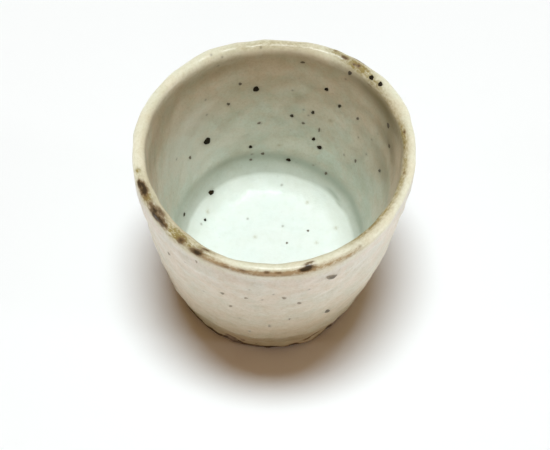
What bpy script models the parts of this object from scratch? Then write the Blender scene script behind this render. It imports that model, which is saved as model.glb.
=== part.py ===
# Soba choko cup: thrown stoneware on a low foot ring, glazed inside and out, with iron brushed on the lip.
# Metres, +Z up. The origin lies on the surface that the cup stands on, below the middle of its mouth.
import math

import bpy
import numpy as np

# Sizes of the finished cup, over the glaze
MOUTH_DIAMETER = 0.0800
HEIGHT = 0.0670
LIP_THICKNESS = 0.0038
WAIST_DIAMETER = 0.0612
LOW_WALL_THICKNESS = 0.0055
OUTER_BELLY = 0.0014
INNER_BELLY = 0.0008

# Inside of the clay
FLOOR_THICKNESS = 0.0064
FLOOR_CURVE_RADIUS = 0.0110
FLOOR_DISH = 0.0004

# Foot, stepped in under the waist
FOOT_DIAMETER = 0.0572
FOOT_HEIGHT = 0.0040
FOOT_WIDTH = 0.0050
FOOT_EDGE_RADIUS = 0.0006
STEP_HEIGHT = 0.0045
UNDERSIDE_HOLLOW = 0.0008

# Coats, and the clearance at which each one lies on the clay and meets its neighbour
GLAZE_THICKNESS = 0.0006
BOND_GAP = 0.0003
LIP_BAND_DEPTH = 0.0034
BARE_EDGE_HEIGHT = 0.0012

# Throwing by hand: the mouth stands off the foot's centre, and its rim bows out and in round the circle
MOUTH_LEAN = 0.0015
RIM_WAVER = 0.0005
WAVER_LOBES = 3

# Facets
AROUND = 60
WALL_POINTS = 8
FLOOR_POINTS = 4
CURVE_POINTS = 6
LIP_POINTS = 7
STEP_POINTS = 4
EDGE_POINTS = 3
MERGE_DISTANCE = 0.00001
SHARP_ANGLE = math.radians(50)

# Colour and roughness of each fired surface
FINISHES = {
    "bare_clay": ((0.33, 0.24, 0.16), 0.85),
    "foot_clay": ((0.30, 0.21, 0.14), 0.85),
    "pale_green_glaze": ((0.74, 0.78, 0.70), 0.30),
    "warm_grey_glaze": ((0.66, 0.61, 0.52), 0.42),
    "iron_on_cream": ((0.55, 0.46, 0.30), 0.38),
}

# Heights and radii of the clay that follow from the sizes above
COAT = BOND_GAP + GLAZE_THICKNESS
LIP_RADIUS = LIP_THICKNESS / 2 - COAT
LIP_CENTRE = (MOUTH_DIAMETER / 2 - LIP_THICKNESS / 2, HEIGHT - LIP_THICKNESS / 2)
WAIST = (WAIST_DIAMETER / 2 - COAT, FOOT_HEIGHT + STEP_HEIGHT)
FOOT_RADIUS = FOOT_DIAMETER / 2 - COAT
FLOOR_LEVEL = FOOT_HEIGHT + FLOOR_THICKNESS
FLOOR_CURVE_LEVEL = FLOOR_LEVEL + FLOOR_CURVE_RADIUS


# Points of an arc, with angles in radians from the +X side
def arc(centre, radius, first, last, count):
    angles = np.linspace(first, last, count)
    return np.column_stack([centre[0] + radius * np.cos(angles), centre[1] + radius * np.sin(angles)])


# Points of a wall from one end to the other that bows out by the belly at half its height
def bowed(start, end, belly, count):
    share = np.linspace(0, 1, count)
    points = np.outer(1 - share, start) + np.outer(share, end)
    points[:, 0] += 4 * belly * share * (1 - share)
    return points


# Angle from upright of a bowed wall at its lower end (side 1) or at its upper end (side -1)
def wall_lean(lower, upper, belly, side):
    return math.atan2(upper[0] - lower[0] + side * 4 * belly, upper[1] - lower[1])


# Radius of the clay's outer wall at a height
def outer_radius(height):
    share = (height - WAIST[1]) / (LIP_CENTRE[1] - WAIST[1])
    chord = WAIST[0] + share * (LIP_CENTRE[0] + LIP_RADIUS - WAIST[0])
    return chord + 4 * OUTER_BELLY * share * (1 - share)


# Points of the step from the waist in to the foot's outer side, eased at both ends
def waist_step():
    fall = np.linspace(0, 1, STEP_POINTS)
    inward = (1 - np.cos(math.pi * fall)) / 2
    return np.column_stack([WAIST[0] + (FOOT_RADIUS - WAIST[0]) * inward, WAIST[1] - STEP_HEIGHT * fall])


# The clay's skin in section: from the floor's centre up the inside, over the lip and down to the foot's top
def clay_skin():
    lip_inside = (LIP_CENTRE[0] - LIP_RADIUS, LIP_CENTRE[1])
    lip_outside = (LIP_CENTRE[0] + LIP_RADIUS, LIP_CENTRE[1])
    clay_wall = LOW_WALL_THICKNESS - 2 * COAT
    wall_foot = (outer_radius(FLOOR_CURVE_LEVEL) - clay_wall, FLOOR_CURVE_LEVEL)
    lean_low = wall_lean(wall_foot, lip_inside, INNER_BELLY, 1)
    lean_inside = wall_lean(wall_foot, lip_inside, INNER_BELLY, -1)
    lean_outside = wall_lean(WAIST, lip_outside, OUTER_BELLY, -1)
    curve_centre = (wall_foot[0] - FLOOR_CURVE_RADIUS, FLOOR_CURVE_LEVEL)

    radii = np.linspace(0, curve_centre[0], FLOOR_POINTS)
    dish = FLOOR_DISH * (1 - (radii / curve_centre[0]) ** 2)
    floor = np.column_stack([radii, FLOOR_LEVEL - dish])
    curve = arc(curve_centre, FLOOR_CURVE_RADIUS, -math.pi / 2, -lean_low, CURVE_POINTS)
    lip = arc(LIP_CENTRE, LIP_RADIUS, math.pi - lean_inside, -lean_outside, LIP_POINTS)
    inside = bowed(curve[-1], lip[0], INNER_BELLY, WALL_POINTS)
    outside = bowed(lip[-1], WAIST, OUTER_BELLY, WALL_POINTS)
    return np.vstack([floor[:-1], curve[:-1], inside[:-1], lip[:-1], outside[:-1], waist_step()])


# The same line moved out from the clay by a distance
def offset(points, distance):
    along = np.gradient(points, axis=0)
    along[0] = (1, 0)
    normal = np.column_stack([-along[:, 1], along[:, 0]])
    return points + distance * normal / np.linalg.norm(normal, axis=1, keepdims=True)


# Place on a line, as a fractional index, that lies a distance along it from the highest point
def place_from_lip(points, distance):
    steps = np.linalg.norm(np.diff(points, axis=0), axis=1)
    lengths = np.concatenate([[0], np.cumsum(steps)])
    at_lip = lengths[np.argmax(points[:, 1])]
    return float(np.interp(at_lip + distance, lengths, np.arange(len(points))))


# Stretch of a line between two fractional indices
def stretch(points, first, last):
    inner = np.arange(math.floor(first) + 1, math.ceil(last))
    places = np.concatenate([[first], inner, [last]])
    index = np.arange(len(points))
    return np.column_stack([np.interp(places, index, points[:, axis]) for axis in range(2)])


# Section of a coat that lies on a line of clay between two places
def coat_section(clay, first, last):
    face = stretch(offset(clay, COAT), first, last)
    bond = stretch(offset(clay, BOND_GAP), first, last)
    return np.vstack([face, bond[::-1]])


# Section of the clay body: its skin and its underside, hollowed inside the foot ring
def body_section(skin):
    seat = FOOT_RADIUS - FOOT_WIDTH
    radii = np.linspace(seat, 0, FLOOR_POINTS)
    hollow = UNDERSIDE_HOLLOW * (1 - (radii / seat) ** 2)
    underside = np.column_stack([radii, FOOT_HEIGHT + hollow])
    return np.vstack([skin, underside])


# Section of the foot ring, with its two lower edges rounded
def foot_section():
    inner = FOOT_RADIUS - FOOT_WIDTH
    top = FOOT_HEIGHT - BOND_GAP
    edge = FOOT_EDGE_RADIUS
    outer_edge = arc((FOOT_RADIUS - edge, edge), edge, 0, -math.pi / 2, EDGE_POINTS)
    inner_edge = arc((inner + edge, edge), edge, -math.pi / 2, -math.pi, EDGE_POINTS)
    return np.vstack([[(FOOT_RADIUS, top)], outer_edge, inner_edge, [(inner, top)]])


# Moves a turned mesh the way the thrown clay stands: leaning mouth, wavering rim, foot left flat
def throw_by_hand(mesh):
    places = np.empty(3 * len(mesh.vertices))
    mesh.vertices.foreach_get("co", places)
    places = places.reshape(-1, 3)
    height = places[:, 2] / HEIGHT
    angle = np.arctan2(places[:, 1], places[:, 0])
    radius = np.hypot(places[:, 0], places[:, 1])
    waver = RIM_WAVER * height**2 * radius / (MOUTH_DIAMETER / 2)
    grown = waver * np.sin(WAVER_LOBES * angle)
    places[:, 0] += grown * np.cos(angle) - MOUTH_LEAN * (1 - height)
    places[:, 1] += grown * np.sin(angle) + RIM_WAVER * height**2
    mesh.vertices.foreach_set("co", places.ravel())
    mesh.update()


def fired_material(name):
    colour, roughness = FINISHES[name]
    material = bpy.data.materials.new(name)
    material.use_nodes = True
    shader = material.node_tree.nodes["Principled BSDF"]
    shader.inputs["Base Color"].default_value = (*colour, 1)
    shader.inputs["Roughness"].default_value = roughness
    shader.inputs["Metallic"].default_value = 0
    material.diffuse_color = (*colour, 1)
    return material


# Turns a section about the cup's axis: an open one starts and ends on the axis, a closed one is a ring
def turned(name, section, closed, finish, collection, parent):
    count = len(section)
    points = [(radius, 0, height) for radius, height in section]
    edges = [(i, i + 1) for i in range(count - 1)]
    if closed:
        edges.append((count - 1, 0))
    profile = bpy.data.meshes.new(name + "_profile")
    profile.from_pydata(points, edges, [])
    piece = bpy.data.objects.new(name, profile)
    collection.objects.link(piece)

    screw = piece.modifiers.new("turn", "SCREW")
    screw.axis = "Z"
    screw.steps = AROUND
    screw.render_steps = AROUND
    screw.use_merge_vertices = True
    screw.merge_threshold = MERGE_DISTANCE
    screw.use_smooth_shade = True
    depsgraph = bpy.context.evaluated_depsgraph_get()
    mesh = bpy.data.meshes.new_from_object(piece.evaluated_get(depsgraph))
    piece.modifiers.clear()
    piece.data = mesh
    bpy.data.meshes.remove(profile)
    mesh.name = name

    throw_by_hand(mesh)
    mesh.shade_smooth()
    mesh.set_sharp_from_angle(angle=SHARP_ANGLE)
    mesh.materials.append(fired_material(finish))
    piece.parent = parent
    return piece


def main():
    for old in list(bpy.data.objects):
        bpy.data.objects.remove(old)
    collection = bpy.data.collections.new("soba_choko_cup")
    bpy.context.scene.collection.children.link(collection)
    cup = bpy.data.objects.new("cup_axis", None)
    collection.objects.link(cup)

    skin = clay_skin()
    coated = np.vstack([skin, [(FOOT_RADIUS, BARE_EDGE_HEIGHT)]])
    lip_start = place_from_lip(skin, -LIP_BAND_DEPTH)
    lip_end = place_from_lip(skin, LIP_BAND_DEPTH)
    inside_end = place_from_lip(skin, -LIP_BAND_DEPTH - BOND_GAP)
    outside_start = place_from_lip(skin, LIP_BAND_DEPTH + BOND_GAP)

    turned("clay_body", body_section(skin), False, "bare_clay", collection, cup)
    turned("foot_ring", foot_section(), True, "foot_clay", collection, cup)
    inside = coat_section(coated, 0, inside_end)
    turned("inside_glaze", inside, False, "pale_green_glaze", collection, cup)
    outside = coat_section(coated, outside_start, len(coated) - 1)
    turned("outside_glaze", outside, True, "warm_grey_glaze", collection, cup)
    lip = coat_section(coated, lip_start, lip_end)
    turned("lip_iron_band", lip, True, "iron_on_cream", collection, cup)


main()
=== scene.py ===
import math

import bpy
import numpy as np
from mathutils import Matrix, Vector


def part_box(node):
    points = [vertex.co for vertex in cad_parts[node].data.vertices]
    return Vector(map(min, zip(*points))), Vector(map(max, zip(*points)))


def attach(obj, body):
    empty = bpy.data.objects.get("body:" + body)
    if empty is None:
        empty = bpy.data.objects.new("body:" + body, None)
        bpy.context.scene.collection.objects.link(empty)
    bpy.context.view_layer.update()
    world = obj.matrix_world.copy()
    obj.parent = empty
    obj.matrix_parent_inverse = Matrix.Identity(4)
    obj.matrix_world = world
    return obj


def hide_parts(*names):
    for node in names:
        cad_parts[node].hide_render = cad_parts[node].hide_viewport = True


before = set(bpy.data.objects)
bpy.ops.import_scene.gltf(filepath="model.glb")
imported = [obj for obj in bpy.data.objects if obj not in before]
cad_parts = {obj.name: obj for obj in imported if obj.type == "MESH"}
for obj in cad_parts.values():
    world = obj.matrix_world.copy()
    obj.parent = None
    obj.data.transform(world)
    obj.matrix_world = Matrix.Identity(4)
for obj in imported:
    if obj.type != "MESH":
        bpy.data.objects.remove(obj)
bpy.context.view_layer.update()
lipLow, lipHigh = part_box("lip_iron_band")
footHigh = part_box("foot_ring")[1]
mm = 0.001
print("frame loaded:", sorted(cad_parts))

# the finished cup over its glaze, in metres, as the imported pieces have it
cup = {
    "mouthRadius": (lipHigh.x - lipLow.x) / 2,
    "height": lipHigh.z,
    "lipThickness": 3.8 * mm,
    "lipBand": 4.2 * mm,        # how far the lip's coat reaches down each side of the crest
    "outerBelly": 1.4 * mm,
    "innerBelly": 0.8 * mm,
    "lowWall": 5.5 * mm,        # wall thickness where it meets the floor's curve
    "waistRadius": 30.6 * mm,
    "waistHeight": 8.5 * mm,
    "footRadius": 28.6 * mm,
    "footTop": 4.0 * mm,
    "bareEdge": 1.2 * mm,       # where the outer glaze stops above the table
    "floorLevel": 11.3 * mm,
    "floorCurve": 10.1 * mm,
    "floorDish": 0.4 * mm,
    "glaze": 0.6 * mm,
    "lean": 1.5 * mm,
    "waver": 0.5 * mm,
    "around": 480,
    "rowStep": 0.46 * mm,
    "lipStep": 0.14 * mm,
}

# the photograph's frame and the camera that its outlines give
photo = {
    "width": 550,
    "height": 450,
    "focalPixels": 1600,
    "elevation": math.radians(58.73),
    "roll": math.radians(0.55),
    "distance": 0.4843,
    "target": (0.43 * mm, 0.0, 26.4 * mm),
    "frontLipRow": 245,         # a faint stain above this row of pixels lies inside the cup
}


# camera axes: forward tips down by the elevation, then right and up turn about it by the roll
def cameraAxes():
    tip, roll = photo["elevation"], photo["roll"]
    forward = np.array([0, math.cos(tip), -math.sin(tip)])
    level, rise = np.array([1.0, 0, 0]), np.array([0, math.sin(tip), math.cos(tip)])
    right = math.cos(roll) * level + math.sin(roll) * rise
    up = math.cos(roll) * rise - math.sin(roll) * level
    return forward, right, up, np.array(photo["target"]) - forward * photo["distance"]


# pixel of each point: offsets across and up the view, over depth, times the focal length in pixels
def toPhoto(points):
    forward, right, up, eye = cameraAxes()
    away = points - eye
    depth = away @ forward
    x = photo["width"] / 2 + photo["focalPixels"] * (away @ right) / depth
    y = photo["height"] / 2 - photo["focalPixels"] * (away @ up) / depth
    return np.stack([x, y], axis=-1)


# random plane waves summed: a smooth uneven field of about unit size and the given wavelength
def unevenness(points, wavelength, seed, count=28):
    draw = np.random.default_rng(seed)
    ways = draw.normal(size=(count, 3))
    ways *= (draw.uniform(0.6, 1.5, count) / np.linalg.norm(ways, axis=1))[:, None]
    phases = draw.uniform(0, 2 * math.pi, count)
    waves = np.cos(points.reshape(-1, 3) @ (ways.T * (2 * math.pi / wavelength)) + phases)
    return waves.sum(axis=1).reshape(points.shape[:-1]) / math.sqrt(count / 2)


# section turned round the axis: a grid of points, rows along the section and columns round it
def turned(across, high, turns):
    level = [np.outer(across, np.cos(turns)), np.outer(across, np.sin(turns))]
    return np.stack([*level, np.outer(high, np.ones_like(turns))], axis=-1)


# bell curve about a centre
def bell(value, centre, width):
    return np.exp(-((value - centre) / width) ** 2)


# smooth step from 0 to 1 between two values
def ease(value, low, high):
    share = np.clip((value - low) / (high - low), 0, 1)
    return share * share * (3 - 2 * share)


# arc of a section: points at a radius about a centre, from one angle to another
def arcLine(centre, radius, first, last, count):
    turn = np.linspace(first, last, count)
    return np.stack([centre[0] + radius * np.cos(turn), centre[1] + radius * np.sin(turn)], axis=1)


# straight line of a section with a belly: pushed outward by a parabola that is highest half way
def bowedLine(start, end, belly, count):
    share = np.linspace(0, 1, count)[:, None]
    line = (1 - share) * start + share * end
    line[:, 0] += 4 * belly * share[:, 0] * (1 - share[:, 0])
    return line


# section of the finished cup: floor, curve, bowed inner wall, round lip, bowed outer wall, step, foot side
def cupSection():
    lip = cup["lipThickness"] / 2
    lipCentre = np.array([cup["mouthRadius"] - lip, cup["height"] - lip])
    waist = np.array([cup["waistRadius"], cup["waistHeight"]])
    curveTop = cup["floorLevel"] + cup["floorCurve"]
    share = (curveTop - waist[1]) / (lipCentre[1] - waist[1])
    belly = 4 * cup["outerBelly"] * share * (1 - share)
    wallFoot = waist[0] + share * (cup["mouthRadius"] - waist[0]) + belly - cup["lowWall"]
    rise = lipCentre[1] - curveTop
    leanLow = math.atan2(lipCentre[0] - lip - wallFoot + 4 * cup["innerBelly"], rise)
    leanIn = math.atan2(lipCentre[0] - lip - wallFoot - 4 * cup["innerBelly"], rise)
    leanOut = math.atan2(cup["mouthRadius"] - waist[0] - 4 * cup["outerBelly"], lipCentre[1] - waist[1])

    curveCentre = (wallFoot - cup["floorCurve"], curveTop)
    across = np.linspace(0, curveCentre[0], 120)
    dish = cup["floorDish"] * (1 - (across / curveCentre[0]) ** 2)
    floor = np.stack([across, cup["floorLevel"] - dish], axis=1)
    curve = arcLine(curveCentre, cup["floorCurve"], -math.pi / 2, -leanLow, 120)
    lipArc = arcLine(lipCentre, lip, math.pi - leanIn, -leanOut, 120)
    inner = bowedLine(curve[-1], lipArc[0], cup["innerBelly"], 300)
    outer = bowedLine(lipArc[-1], waist, cup["outerBelly"], 300)
    fall = np.linspace(0, 1, 60)
    easeIn = (1 - np.cos(math.pi * fall)) / 2
    step = np.stack([waist[0] + (cup["footRadius"] - waist[0]) * easeIn,
                     waist[1] - (waist[1] - cup["footTop"]) * fall], axis=1)
    down = np.linspace(cup["footTop"], cup["bareEdge"], 40)
    side = np.stack([np.full(len(down), cup["footRadius"]), down], axis=1)
    line = np.vstack([floor[:-1], curve[:-1], inner[:-1], lipArc[:-1], outer[:-1], step[:-1], side])
    return line, curve[-1]


# arc length along the section, counted from the lip's crest: negative inside, positive outside
section, creaseAt = cupSection()
lengths = np.concatenate([[0], np.cumsum(np.linalg.norm(np.diff(section, axis=0), axis=1))])
lengths -= lengths[np.argmax(section[:, 1])]
creaseReach = lengths[np.argmin(np.linalg.norm(section - creaseAt, axis=1))]
waistReach = np.interp(-cup["waistHeight"], -section[len(section) // 2:, 1], lengths[len(section) // 2:])
floorReach, footReach = lengths[0], lengths[-1]
print("section: inside %.1f mm, outside %.1f mm, crease at %.1f mm"
      % (-floorReach / mm, footReach / mm, creaseReach / mm))

# what the potter's hands leave on the wall, in metres
hand = {
    "throwPitch": 6.4 * mm,
    "throwInside": 0.035 * mm,
    "throwOutside": 0.035 * mm,
    "lumps": 0.20 * mm,
    "dimples": 0.07 * mm,
    "pits": 0.012 * mm,
    "trimming": 0.055 * mm,
    "lipRise": 0.20 * mm,
    "creaseGroove": 0.18 * mm,
    "bead": 0.55 * mm,          # thick roll inside the lip, at the back
    "fold": 0.35 * mm,
    "footChatter": 0.14 * mm,
    "roll": 0.36 * mm,          # thick edge of the wall above the trimmed foot
    "trimmed": 0.28 * mm,
    "tuck": 0.30 * mm,          # wall drawn in above the foot
    "edgeWander": 0.35 * mm,    # how far the glaze's lower edge wanders, and the most that it may
    "edgeLimit": 0.7 * mm,
}

# wavelength in metres and seed of each uneven mark
waves = {
    "patches": (30 * mm, 3),
    "lumps": (26 * mm, 5),
    "dimples": (8 * mm, 7),
    "pits": (3 * mm, 8),
    "footChatter": (5 * mm, 9),
    "lipRise": (34 * mm, 11),
    "trimming": (8 * mm, 13),
    "edgeWander": (9 * mm, 21),
    "burntAndShadePatches": (7 * mm, 23),
    "footCut": (4 * mm, 61),
}

# where a mark lies along the section, and its spread, in metres of reach
bands = {
    "bead": (-3.6 * mm, 2.1 * mm),
    "fold": (9.0 * mm, 2.0 * mm),
    "tuck": (45.0 * mm, 10.0 * mm),
    "crease": (2.0 * mm, 2.4 * mm),    # counted from the crease
    "roll": (-1.3 * mm, 1.2 * mm),     # counted from the trim line
}

# a soft fold in the wall below the lip, where a finger slipped: its angle round the cup, its spread, and how
# far it falls in a radian; then the angle at which the roll inside the lip is thickest
fold = {"turn": math.radians(238), "spread": math.radians(24), "fall": 3 * mm}
beadTurn = math.radians(100)

# the line where the wall was trimmed for the foot: its mean reach, and how it tilts
trim = {"reach": 55 * mm, "tilt": 2.5 * mm, "turn": math.radians(95)}

# where the rim's outer side bulges or is pressed flat: degrees round the cup, spread in degrees, push in mm
rimBulges = [(32, 34, 0.55), (40, 11, -0.25), (188, 16, 0.40)]


# bell about a mark's place, which is counted from the given start
def band(s, name, start=0.0):
    at, spread = bands[name]
    return bell(s, start + at, spread)


# angle from a place on the rim, the short way round
def turnAway(turns, centre):
    return (turns - centre + math.pi) % (2 * math.pi) - math.pi


# reach of the trim line at each angle: it tilts round the cup as a sine
def trimLine(angles):
    return trim["reach"] + trim["tilt"] * np.sin(angles + trim["turn"])


# moves points as the thrown clay stands: three bows round the rim, the mouth off the foot's centre
def asThrown(points):
    height = points[..., 2] / cup["height"]
    turn = np.arctan2(points[..., 1], points[..., 0])
    radius = np.hypot(points[..., 0], points[..., 1])
    grown = cup["waver"] * height ** 2 * radius / cup["mouthRadius"] * np.sin(3 * turn)
    moved = points.copy()
    moved[..., 0] += grown * np.cos(turn) - cup["lean"] * (1 - height)
    moved[..., 1] += grown * np.sin(turn) + cup["waver"] * height ** 2
    return moved


# finished surface: the section at each reach, turned to each angle, pushed along its normal by hand marks
def cupSurface(reach, turns):
    radius = np.interp(reach, lengths, section[:, 0])
    height = np.interp(reach, lengths, section[:, 1])
    slope = np.stack([np.gradient(section[:, 0], lengths), np.gradient(section[:, 1], lengths)], axis=1)
    slopeR = np.interp(reach, lengths, slope[:, 0])
    slopeZ = np.interp(reach, lengths, slope[:, 1])
    size = np.hypot(slopeR, slopeZ)
    outR, outZ = -slopeZ / size, slopeR / size
    base = turned(radius, height, turns)
    normal = turned(outR, outZ, turns)

    s = reach[:, None]
    innerWall = ease(s, creaseReach, creaseReach + 4 * mm) * (1 - ease(s, -7 * mm, -3 * mm))
    outerWall = ease(s, 3 * mm, 8 * mm) * (1 - ease(s, waistReach - 6 * mm, waistReach))
    nearLip = bell(s, 0, 4 * mm)
    spiral = np.sin(2 * math.pi * s / hand["throwPitch"] + turns[None, :])
    patchy = 0.6 + 0.4 * unevenness(base, *waves["patches"])
    push = spiral * patchy * (hand["throwInside"] * innerWall + hand["throwOutside"] * outerWall)
    offAxis = ease(s, floorReach, floorReach + 12 * mm)
    push += hand["lumps"] * unevenness(base, *waves["lumps"]) * offAxis
    push += hand["dimples"] * unevenness(base, *waves["dimples"])
    push += hand["pits"] * unevenness(base, *waves["pits"])
    flattened = base * np.array([1, 1, 2.4])
    push += hand["trimming"] * unevenness(flattened, *waves["trimming"]) * outerWall
    push -= hand["creaseGroove"] * band(s, "crease", creaseReach)
    beadSide = ease(np.cos(turns[None, :] - beadTurn), 0.4, 0.95)
    push += hand["bead"] * band(s, "bead") * beadSide
    foldFall = fold["fall"] * (turns[None, :] - fold["turn"])
    push += hand["fold"] * band(s, "fold", foldFall) * bell(turns[None, :], fold["turn"], fold["spread"])
    ledge = trimLine(turns)[None, :]
    push += hand["roll"] * band(s, "roll", ledge)
    cutAway = ease(s, ledge - 0.5 * mm, ledge + 0.9 * mm) * (1 - ease(s, waistReach, footReach))
    push -= hand["trimmed"] * cutAway
    push -= hand["tuck"] * band(s, "tuck")
    footSide = ease(s, waistReach - 1 * mm, waistReach + 2 * mm)
    push += hand["footChatter"] * unevenness(base, *waves["footChatter"]) * footSide
    ringPoints = base * np.array([1, 1, 0.0])
    surface = base + normal * push[..., None]
    bulge = sum(swell * mm * bell(turnAway(turns, math.radians(turn)), 0, math.radians(spread))
                for turn, spread, swell in rimBulges)
    bulge = bulge[None, :] * bell(s, 0, 14 * mm) * ease(s, -2.5 * mm, 1.5 * mm)
    surface[..., 0] += bulge * np.cos(turns)
    surface[..., 1] += bulge * np.sin(turns)
    surface[..., 2] += hand["lipRise"] * nearLip * unevenness(ringPoints, *waves["lipRise"])
    return asThrown(surface)


# normals of a grid that closes round its second axis: cross product of the slopes along and around
def gridNormals(grid, reach):
    along = np.gradient(grid, reach, axis=0)
    around = np.roll(grid, -1, axis=1) - np.roll(grid, 1, axis=1)
    normals = np.cross(along, around)
    return normals / np.maximum(np.linalg.norm(normals, axis=-1, keepdims=True), 1e-12)


# mesh from points, quads and triangles: each face's first corner is the sum of the sizes before it
def meshFrom(name, points, quads, triangles=None):
    mesh = bpy.data.meshes.new(name)
    triangles = np.zeros((0, 3), np.int32) if triangles is None else triangles
    corners = np.concatenate([quads.ravel(), triangles.ravel()]).astype(np.int32)
    sizes = np.concatenate([np.full(len(quads), 4), np.full(len(triangles), 3)])
    mesh.vertices.add(len(points))
    mesh.loops.add(len(corners))
    mesh.polygons.add(len(sizes))
    mesh.vertices.foreach_set("co", np.asarray(points, np.float32).ravel())
    mesh.loops.foreach_set("vertex_index", corners)
    starts = np.concatenate([[0], np.cumsum(sizes)[:-1]]).astype(np.int32)
    mesh.polygons.foreach_set("loop_start", starts)
    mesh.update(calc_edges=True)
    mesh.validate()
    mesh.shade_smooth()
    return mesh


# quads between the rows of a grid that closes around; closedRows joins the last row to the first
def gridQuads(rows, columns, closedRows):
    index = np.arange(rows * columns).reshape(rows, columns)
    low = index if closedRows else index[:-1]
    high = np.roll(index, -1, axis=0) if closedRows else index[1:]
    quads = [high, np.roll(high, -1, axis=1), np.roll(low, -1, axis=1), low]
    return np.stack(quads, axis=-1).reshape(-1, 4)


# triangles from a pole to the row beside it
def poleFan(pole, row, turnedOver):
    nextRow = np.roll(row, -1)
    fan = np.stack([np.full(len(row), pole), row, nextRow], axis=1)
    return fan[:, ::-1] if turnedOver else fan


# rows of a grid that its hidden side keeps: about one in five, its ends among them
def hiddenRows(count):
    return np.unique(np.linspace(0, count - 1, max(9, count // 5)).astype(int))


# closed coat: the finished grid and a hidden grid a thickness below it, joined at the ends or at the axis
def coatPiece(name, grid, normals, thickness, onAxis):
    columns = grid.shape[1]
    picks = hiddenRows(len(grid))
    under = (grid - normals * thickness)[picks][::-1]
    stack = np.concatenate([grid, under])
    points = stack.reshape(-1, 3)
    quads = gridQuads(len(stack), columns, not onAxis)
    fans = None
    if onAxis:
        top, bottom = grid[0].mean(axis=0), under[-1].mean(axis=0)
        count = len(points)
        points = np.vstack([points, top, bottom])
        firstRow, lastRow = np.arange(columns), np.arange(count - columns, count)
        fans = np.vstack([poleFan(count, firstRow, False), poleFan(count + 1, lastRow, True)])
    mesh = meshFrom(name, points, quads, fans)
    shown = np.concatenate([normals, -normals[picks][::-1]]).reshape(-1, 3)
    if onAxis:
        shown = np.vstack([shown, [[0, 0, 1], [0, 0, -1]]])
    mesh.normals_split_custom_set_from_vertices(shown.tolist())
    return mesh


# object at the origin for a mesh: it rides on the cup's one body and replaces a node
def place(name, mesh, material, node):
    piece = bpy.data.objects.new(name, mesh)
    bpy.context.scene.collection.objects.link(piece)
    mesh.materials.append(material)
    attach(piece, "root")
    if node:
        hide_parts(node)
    return piece


# values of a grid and of the hidden rows below it, stored on the mesh's points
def giveAttribute(mesh, name, values):
    full = np.concatenate([values, values[hiddenRows(len(values))][::-1]]).ravel()
    spare = len(mesh.vertices) - len(full)
    full = np.concatenate([full, np.full(spare, full[0])])
    layer = mesh.attributes.new(name, "FLOAT", "POINT")
    layer.data.foreach_set("value", full.astype(np.float32))


turns = np.linspace(0, 2 * math.pi, cup["around"], endpoint=False)


# rows at an even step between two reaches
def rowsBetween(first, last, step):
    return np.linspace(first, last, max(8, int(round(abs(last - first) / step))))


poleGap = 0.15 * mm
insideReach = rowsBetween(floorReach + poleGap, -cup["lipBand"], cup["rowStep"])
lipReach = rowsBetween(-cup["lipBand"], cup["lipBand"], cup["lipStep"])
outsideReach = rowsBetween(cup["lipBand"], footReach, cup["rowStep"])
allReach = np.concatenate([insideReach, lipReach[1:], outsideReach[1:]])
allPoints = cupSurface(allReach, turns)
allNormals = gridNormals(allPoints, allReach)

# the glaze's lower edge wanders up and down round the foot
footPoints = allPoints[-1] * np.array([1, 1, 0.0])
edgeWander = hand["edgeWander"] * unevenness(footPoints, *waves["edgeWander"])
edgeRows = ease(allReach, waistReach + 2 * mm, footReach)[:, None]
allPoints[..., 2] += edgeRows * np.clip(edgeWander, -hand["edgeLimit"], hand["edgeLimit"])[None, :]

insideEnd = len(insideReach)
lipEnd = insideEnd + len(lipReach) - 1
brimRows = 14    # how many rows of each wall the brim takes in beside the lip
spans = {
    "inside": slice(0, insideEnd),
    "lip": slice(insideEnd - 1, lipEnd),
    "outside": slice(lipEnd - 1, None),
    "mouth": slice(0, lipEnd),
    "brim": slice(insideEnd - brimRows, lipEnd + brimRows),
}
print("surface grid:", allPoints.shape)

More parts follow.
